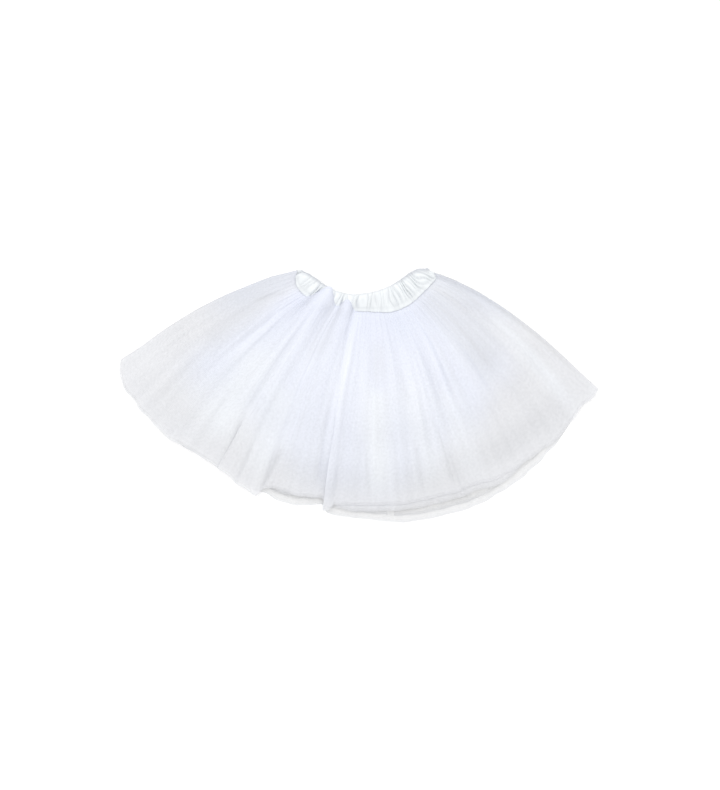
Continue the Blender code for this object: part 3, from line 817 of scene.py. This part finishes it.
def crease_count(round_it, down, place):
    """How many creases lie before each point: 2 PUFFS round the loop, made uneven by two slow sines, slanted
    and bent across the band, and closer together towards the right."""
    slant = -0.5 + 3.0 * ramp(place, 0.55, 0.4) - 0.8 * smooth((0.35 - place) / 0.3)
    turned = 2.0 * math.pi * round_it
    count = 2.0 * PUFFS * round_it + 0.35 * np.sin(9.0 * turned + 3.0) + 0.22 * np.sin(23.0 * turned + 1.0)
    count = count - slant * (down - 0.5) + 0.16 * np.sin(5.0 * down + 2.1 * count)
    return count + MORE_AT_RIGHT * ramp(place, 0.6, 0.4)


def bunched(count, down):
    """How the satin bunches. A puff is a power of |sin(pi count)| between two creases, each as deep as its
    own number says; size is the puff's own height, and split a smaller fold along it."""
    deep = scattered(np.round(count) % (2 * PUFFS))
    puff = 1.0 - (0.3 + 0.7 * deep) * (1.0 - np.abs(np.sin(math.pi * count)) ** (0.45 + 0.4 * deep))
    size = 0.5 + 0.5 * scattered(np.floor(count) % (2 * PUFFS) + 0.5)
    folds = SPLIT_RATE * count + 0.6 * down + 0.3 * np.sin(4.0 * down + count)
    split = np.abs(np.sin(math.pi * folds)) ** 0.6 * (0.5 + 0.5 * np.sin(2.7 * count + 5.0 * down))
    return SimpleNamespace(deep=deep, puff=puff, size=size, split=split)


print("the first three puffs' numbers:", scattered(np.arange(3) + 0.5).round(2))

# %% How high the casing stands, and the painted shade of its creases
SEAM_DOWN = 0.86  # where the seam that holds the tulle runs, down the band
SEAM_PINCH, SEAM_WIDTH = 0.3, 0.05  # as shares of its height and of the band's width
CASING_HEIGHT, PUFF_HEIGHT, SPLIT_HEIGHT = 0.6, 3.9, 0.8  # of the plain casing, a puff, a fold along it
SMALL_CREASES = 0.11  # how deep the painted shade of the finest creases and crumples is
SHALLOWER_AT_RIGHT = 0.3  # of a crease's painted shade
WIDER_ROLL_AT_RIGHT = 0.16  # of the band's width, painted in shade where its upper edge turns under


def casing_height(bunch, down, bell):
    """How far the outside stands off the elastic: an ellipse and the puffs on it, pinched at the seam."""
    seam = 1.0 - SEAM_PINCH * np.exp(-(((down - SEAM_DOWN) / SEAM_WIDTH) ** 2))
    puffed = PUFF_HEIGHT * bunch.puff * bunch.size + SPLIT_HEIGHT * bunch.split * bunch.puff
    return (CASING_HEIGHT + puffed) * bell * seam


def casing_crease_shade(bunch, round_it, down, bell, angle):
    """The painted shade at each point, from 0 on a puff to 1: in the creases between the puffs and in their
    smaller folds, in grey blotches from fine crumples, and along the upper edge, where the casing rolls over."""
    painted_satin_shade = (1.0 - np.clip(bunch.puff, 0.0, 1.0)) ** 1.5 * bell * (0.35 + 0.65 * bunch.deep)
    painted_satin_shade = painted_satin_shade + 0.18 * (1.0 - bunch.split) * bunch.puff
    # Grey blotches of painted shade from fine crumples.
    painted_satin_shade = painted_satin_shade + SMALL_CREASES * np.clip(wander(round_it, down, 31, fine=70.0, terms=20) + 0.4, 0.0, 2.0)
    painted_satin_shade = painted_satin_shade * (1.0 - SHALLOWER_AT_RIGHT * ramp(angle, 14.0, 12.0))
    at_end = ramp(np.abs(angle), 14.0, 22.0)
    roll = 0.05 + 0.09 * at_end + WIDER_ROLL_AT_RIGHT * ramp(angle, 36.0, 8.0)
    # Painted shade where the upper edge rolls under, wider towards the ends.
    rolled_edge_shade = np.exp(-((down / roll) ** 2)) * (0.5 + 0.5 * at_end)
    return np.clip(np.maximum(painted_satin_shade, rolled_edge_shade), 0.0, 1.0)


print("a full puff stands", CASING_HEIGHT + PUFF_HEIGHT, "mm off the elastic")

# %% The points of the casing
BAND_LIES, BAND_LOWEST = 3.65, 0.05  # millimetres from the floor to the loop's middle, and to its underside
BAND_HALF_GAP = 0.25  # between its front and its back
HALF_ELASTIC = 0.5  # half of the elastic's thickness
BAND_TURN = 1.8  # degrees from the table's ends to where the loop turns over
TURN_SHARE = 0.015  # of the way round, for each turn
SCALLOP = 1.2  # how far a puff stands out over the band's edges
SOFTER_BELOW = 0.4  # how much more gently the casing comes down towards the net


def band_points(columns, rows):
    """(points, painted shade) of the casing, rows round its section and columns round its loop. Down is the
    share of the band's width, 0.5 - 0.5 cos of the section's angle, and bell the height of its section."""
    round_it = np.arange(columns) / columns
    corner = [0.0, 0.5 - TURN_SHARE, 0.5, 1.0 - TURN_SHARE, 1.0]
    facing = np.radians(np.interp(round_it, corner, [90.0, 90.0, -90.0, -90.0, -270.0]))
    place = np.interp(round_it, corner, [0.0, 1.0, 1.0, 0.0, 0.0])
    place, section = np.meshgrid(place, 2.0 * math.pi * (np.arange(rows) + 0.5) / rows)
    round_it, facing = np.broadcast_to(round_it, place.shape), np.broadcast_to(facing, place.shape)
    down = 0.5 - 0.5 * np.cos(section)
    bell = np.sin(math.pi * down) ** (0.5 + SOFTER_BELOW * ramp(down, 0.6, 0.3))
    bunch = bunched(crease_count(round_it, down, place), down)

    left, right = BAND_EDGES[0].angle + BAND_TURN, BAND_EDGES[-1].angle - BAND_TURN
    angle = left + (right - left) * place
    upper, lower = band_edge(angle, "upper"), band_edge(angle, "lower")
    scallop = SCALLOP * (bunch.puff * bunch.size - 0.5) * np.abs(2.0 * down - 1.0) ** 3
    radius = upper + (lower - upper) * down + np.where(down < 0.5, -scallop, scallop)

    outside = casing_height(bunch, down, bell) + HALF_ELASTIC
    reach = BAND_HALF_GAP + np.where(section < math.pi, outside, HALF_ELASTIC * (1.0 - bell))
    x, y = to_floor(angle, radius)
    x = x + reach * np.cos(facing) * np.cos(np.radians(angle))
    y = y + reach * np.cos(facing) * np.sin(np.radians(angle))
    level = np.maximum(BAND_LIES + reach * np.sin(facing), BAND_LOWEST)
    return np.stack([x, y, level], axis=2), casing_crease_shade(bunch, round_it, down, bell, angle)


print("the loop spans", BAND_EDGES[-1].angle - BAND_EDGES[0].angle - 2.0 * BAND_TURN, "degrees")

# %% The band as a piece
SATIN_CUT = (0.42, 0.034)
BAND_COLUMNS, BAND_ROWS = 1500, 44
band_grid, band_crease_shade = band_points(BAND_COLUMNS, BAND_ROWS)
satin_band = grid_piece(
    "satin_waistband",
    band_grid,
    True,
    np.linspace(0.0, SATIN_CUT[0], BAND_COLUMNS + 1),
    np.linspace(0.0, SATIN_CUT[1], BAND_ROWS + 1),
)
# The painted shade of the creases and the rolled edge, for the satin's colour.
keep(satin_band, "painted_satin_shade", "FLOAT", "value", band_crease_shade)
print("satin_waistband", 2 * len(satin_band.data.polygons), "triangles")

# %% [markdown]
# ## Stitches
#
# One row of machine stitches along the band's lower edge holds the tulle. A painted dash would not catch
# the light, so each stitch is a small spindle of thread, half sunk in the satin, with only a few dozen
# faces, since there are many.

# %% Stitches
STITCH = 1.9  # millimetres long
STITCH_GAP = 0.7  # and this far apart
THREAD = 0.22  # its radius
RINGS, THREAD_SIDES = 5, 6
STANDS_OUT = 0.4  # how far its middle is above the satin, in radii
TAPER = 0.85  # how far it narrows to its ends


def read_along(distance, run, values):
    """Values that are known at the distances run, read at other distances."""
    return np.stack([np.interp(distance, run, values[:, axis]) for axis in range(3)], axis=1)


def unit(vectors):
    """Each vector divided by its length."""
    return vectors / np.linalg.norm(vectors, axis=1, keepdims=True)


def stitch_row(grid, down):
    """The stitches of one row round the band, along the grid's row at the share down. A stitch's radius is
    THREAD sqrt(1 - TAPER u^2), for u from -1 to 1 along it."""
    row = int(math.acos(1.0 - 2.0 * down) / (2.0 * math.pi) * len(grid))
    path = np.concatenate([grid[row], grid[row][:1]])
    beside = np.concatenate([grid[row + 1] - grid[row - 1], grid[row + 1][:1] - grid[row - 1][:1]])
    run = np.concatenate([[0.0], np.cumsum(np.linalg.norm(np.diff(path, axis=0), axis=1))])
    count = int(run[-1] / (STITCH + STITCH_GAP))
    middle = (np.arange(count) + 0.5) * run[-1] / count
    start, end = read_along(middle - STITCH / 2.0, run, path), read_along(middle + STITCH / 2.0, run, path)
    along = unit(end - start)
    out = unit(np.cross(read_along(middle, run, beside), along))
    side = np.cross(along, out)

    u = np.linspace(-1.0, 1.0, RINGS)[None, :, None, None]
    v = (np.arange(THREAD_SIDES) * 2.0 * math.pi / THREAD_SIDES)[None, None, :, None]
    centre = ((start + end) / 2.0)[:, None, None, :] + u * ((end - start) / 2.0)[:, None, None, :]
    ring = side[:, None, None, :] * np.cos(v) + out[:, None, None, :] * (np.sin(v) + STANDS_OUT)
    return centre + THREAD * np.sqrt(1.0 - TAPER * u * u) * ring


def spindles(name, points):
    """One object from spindles of (count, rings, sides) points, each closed by a flat face at either end."""
    count, rings, sides = points.shape[:3]
    index = np.arange(count * rings * sides).reshape(count, rings, sides)
    after = np.roll(index, -1, axis=2)
    walls = np.stack([index[:, :-1], after[:, :-1], after[:, 1:], index[:, 1:]], axis=3).reshape(-1, 4)
    ends = np.concatenate([index[:, 0, ::-1], index[:, -1]])
    mesh = bpy.data.meshes.new(name)
    mesh.from_pydata((points * MM).reshape(-1, 3), [], walls.tolist() + ends.tolist())
    print(name, count, "stitches of", (rings - 1) * sides + 2, "faces")
    return placed(name, mesh)


stitches = spindles("seam_stitches", stitch_row(band_grid, SEAM_DOWN))

# %% [markdown]
# ## The net's finish
#
# A net is mostly holes, so its finish is mostly transparency. Modelling the threads would take millions of
# faces. Instead the material works out, from the flat cut, whether a point is on a thread or in a hole, and
# gives that as Alpha. A Voronoi pattern, with cells of a millimetre and a half, gives the distance to the
# nearest cell wall, and a slow noise makes some of the net lie closer. Both skirts need the same net, so it
# is a node group.

# %% Helpers for nodes
def new_node(tree, kind, inputs):
    """A shader node of a kind, with its sockets wired."""
    return wire(tree, tree.nodes.new("ShaderNode" + kind), inputs)


def worked_out(tree, operation, *values, clamp=False):
    """A Math node fed by sockets or plain numbers; it gives its output socket."""
    node = new_node(tree, "Math", dict(enumerate(values)))
    node.operation, node.use_clamp = operation, clamp
    return node.outputs["Value"]


def attribute(tree, name, output="Fac"):
    """The socket that gives one of the mesh's attributes."""
    node = new_node(tree, "Attribute", {})
    node.attribute_name = name
    return node.outputs[output]


def cut_position(tree):
    """The socket that gives the place on the flat cut."""
    node = new_node(tree, "UVMap", {})
    node.uv_map = "cut"
    return node.outputs["UV"]


def bumped(tree, shader, height, distance, strength):
    """Feeds a height, in units of distance metres, to the shader as a bump."""
    node = new_node(tree, "Bump", {"Distance": distance, "Strength": strength, "Height": height})
    wire(tree, shader, {"Normal": node.outputs["Normal"]})


print("materials so far:", bpy.data.materials.keys())

# %% A honeycomb net, as a node group
CELL = 0.0016  # metres across one hole
THREAD_EDGES = (0.30, 0.06)  # the distances from a cell's wall where a thread begins and is full
LIES_CLOSER = 270.0  # the noise's waves to a metre of the cut
CONTRAST = 0.45  # between threads and holes
NET_SOCKETS = (
    ("INPUT", "Cut", "Vector"),
    ("INPUT", "Cover", "Float"),
    ("INPUT", "Uneven", "Float"),
    ("OUTPUT", "Alpha", "Float"),
    ("OUTPUT", "Height", "Float"),
    ("OUTPUT", "Cloud", "Float"),
)


def make_net():
    """Alpha and bump height of a honeycomb net, from its cut, its cover, and how uneven it is. Alpha is cover
    + contrast (thread - 0.5) (1 - cover) + uneven (noise - 0.5)."""
    group = bpy.data.node_groups.new("honeycomb_net", "ShaderNodeTree")
    for way, name, kind in NET_SOCKETS:
        group.interface.new_socket(name=name, in_out=way, socket_type="NodeSocket" + kind)
    given, result = group.nodes.new("NodeGroupInput"), group.nodes.new("NodeGroupOutput")
    cut, cover = given.outputs["Cut"], given.outputs["Cover"]
    cells = new_node(group, "TexVoronoi", {"Scale": 1.0 / CELL, "Randomness": 0.7, "Vector": cut})
    cells.feature, cells.voronoi_dimensions = "DISTANCE_TO_EDGE", "2D"
    edges = {"From Min": THREAD_EDGES[0], "From Max": THREAD_EDGES[1], "Value": cells.outputs["Distance"]}
    thread = new_node(group, "MapRange", edges)
    thread.interpolation_type = "SMOOTHSTEP"
    lies = {"Scale": LIES_CLOSER, "Detail": 3.0, "Roughness": 0.65, "Vector": cut}
    cloud = new_node(group, "TexNoise", lies).outputs["Fac"]

    threads = worked_out(group, "SUBTRACT", thread.outputs["Result"], 0.5)
    threads = worked_out(group, "MULTIPLY", threads, CONTRAST)
    netted = worked_out(group, "MULTIPLY_ADD", threads, worked_out(group, "SUBTRACT", 1.0, cover), cover)
    cloudy = worked_out(group, "SUBTRACT", cloud, 0.5)
    alpha = worked_out(group, "MULTIPLY_ADD", cloudy, given.outputs["Uneven"], netted, clamp=True)
    wire(group, result, {"Alpha": alpha, "Height": thread.outputs["Result"], "Cloud": cloud})
    return group


net_group = make_net()
print("net group:", [socket.name for socket in net_group.interface.items_tree])

# %% Tulle
THREAD_RELIEF = 0.12  # of a thread, beside the height of its uneven lie


def tulle_finish(name, uneven):
    """White net: alpha from the honeycomb, the piece's colour with its painted light and shade, and a bump
    from its threads and its lie.
    """
    made, tree, shader = new_material(name, {"Roughness": 0.85, "Specular IOR Level": 0.15})
    net = new_node(tree, "Group", {})
    net.node_tree = net_group
    wire(tree, net, {"Uneven": uneven, "Cut": cut_position(tree), "Cover": attribute(tree, "cover")})
    # The base colour is the attribute of painted light and shade.
    wire(tree, shader, {"Alpha": net.outputs["Alpha"], "Base Color": attribute(tree, "light_and_shade_tint", "Color")})
    relief = worked_out(tree, "MULTIPLY_ADD", net.outputs["Height"], THREAD_RELIEF, net.outputs["Cloud"])
    bumped(tree, shader, relief, distance=0.0006, strength=0.5)
    return made


for piece, name, uneven in ((outer_tulle, "white_tulle", 0.23), (inner_tulle, "white_tulle_inner", 0.26)):
    piece.data.materials.append(tulle_finish(name, uneven))
    print(piece.name, piece.data.materials.keys())

# %% [markdown]
# ## Satin
#
# Satin shines because its threads float over several crossing ones. A mirror-like gloss would look wet, so
# the shader is half glossy, with a little sheen for the soft edge of each puff, and a bump for the fine
# lines of the weave and its slubs. Deep in a crease, and where the upper edge rolls under, the cloth sees
# only itself and darkens. That shade is painted: a colour attribute of painted shade mixes its white with the
# colour of its shade.

# %% Satin
# The satin's white, and the colour its painted shade mixes towards.
SATIN_WHITE = (0.795, 0.825, 0.84, 1.0)
SATIN_SHADE = (0.53, 0.55, 0.59, 1.0)
SATIN_THREAD = 0.0004  # metres between the fine lines of its weave
SLUBS = (900.0, 120.0, 1.0)  # waves to a metre, round the band and down it
WEAVE_RELIEF = 0.2  # of a line, beside a slub's height

shine = {"Roughness": 0.30, "Specular IOR Level": 0.8, "Sheen Weight": 0.25, "Sheen Roughness": 0.4}
satin, tree, shader = new_material("white_satin", shine)
shaded = tree.nodes.new("ShaderNodeMix")
shaded.data_type = "RGBA"
wire(tree, shaded, {"A": SATIN_WHITE, "B": SATIN_SHADE, "Factor": attribute(tree, "painted_satin_shade")})
wire(tree, shader, {"Base Color": shaded.outputs["Result"]})

lines = {"Scale": 1.0 / (10.0 * SATIN_THREAD), "Distortion": 0.6, "Vector": cut_position(tree)}
weave = new_node(tree, "TexWave", lines).outputs["Fac"]
pulled = new_node(tree, "Mapping", {"Scale": SLUBS, "Vector": cut_position(tree)}).outputs["Vector"]
slubs = new_node(tree, "TexNoise", {"Scale": 1.0, "Detail": 2.0, "Vector": pulled}).outputs["Fac"]
woven = worked_out(tree, "MULTIPLY_ADD", weave, WEAVE_RELIEF, slubs)
bumped(tree, shader, woven, distance=0.0003, strength=0.35)
satin_band.data.materials.append(satin)
print("satin:", len(tree.nodes), "nodes")

# %% [markdown]
# ## Sewing thread
#
# Sewing thread is a hard, slightly glossy twist. Its plies are far too thin to model, so slanting bands of
# a wave texture, laid in the object's own space, raise them as a bump.

# %% Sewing thread
spun = {"Base Color": (0.82, 0.83, 0.85, 1.0), "Roughness": 0.5}
thread, tree, shader = new_material("sewing_thread", spun)
here = new_node(tree, "TexCoord", {}).outputs["Object"]
twist = new_node(tree, "TexWave", {"Scale": 700.0, "Vector": here})
twist.bands_direction = "DIAGONAL"
bumped(tree, shader, twist.outputs["Fac"], distance=0.00005, strength=1.0)
stitches.data.materials.append(thread)
print("thread:", len(tree.nodes), "nodes")

# %% [markdown]
# ## How the pieces belong to the garment
#
# The packed model has one body and three nodes. Each new surface rides on that body and takes the place of
# the plain solid it refines, which is hidden; the stitches replace nothing.

# %% How the pieces belong to the garment
for piece, node, slot in (
    (outer_tulle, "tulle_outer", "tulle"),
    (inner_tulle, "tulle_inner", "inner_tulle"),
    (satin_band, "waistband", "satin"),
):
    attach(piece, "root")
    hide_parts(node)
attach(stitches, "root")
print("pieces:", [piece.name for piece in (outer_tulle, inner_tulle, satin_band, stitches)])
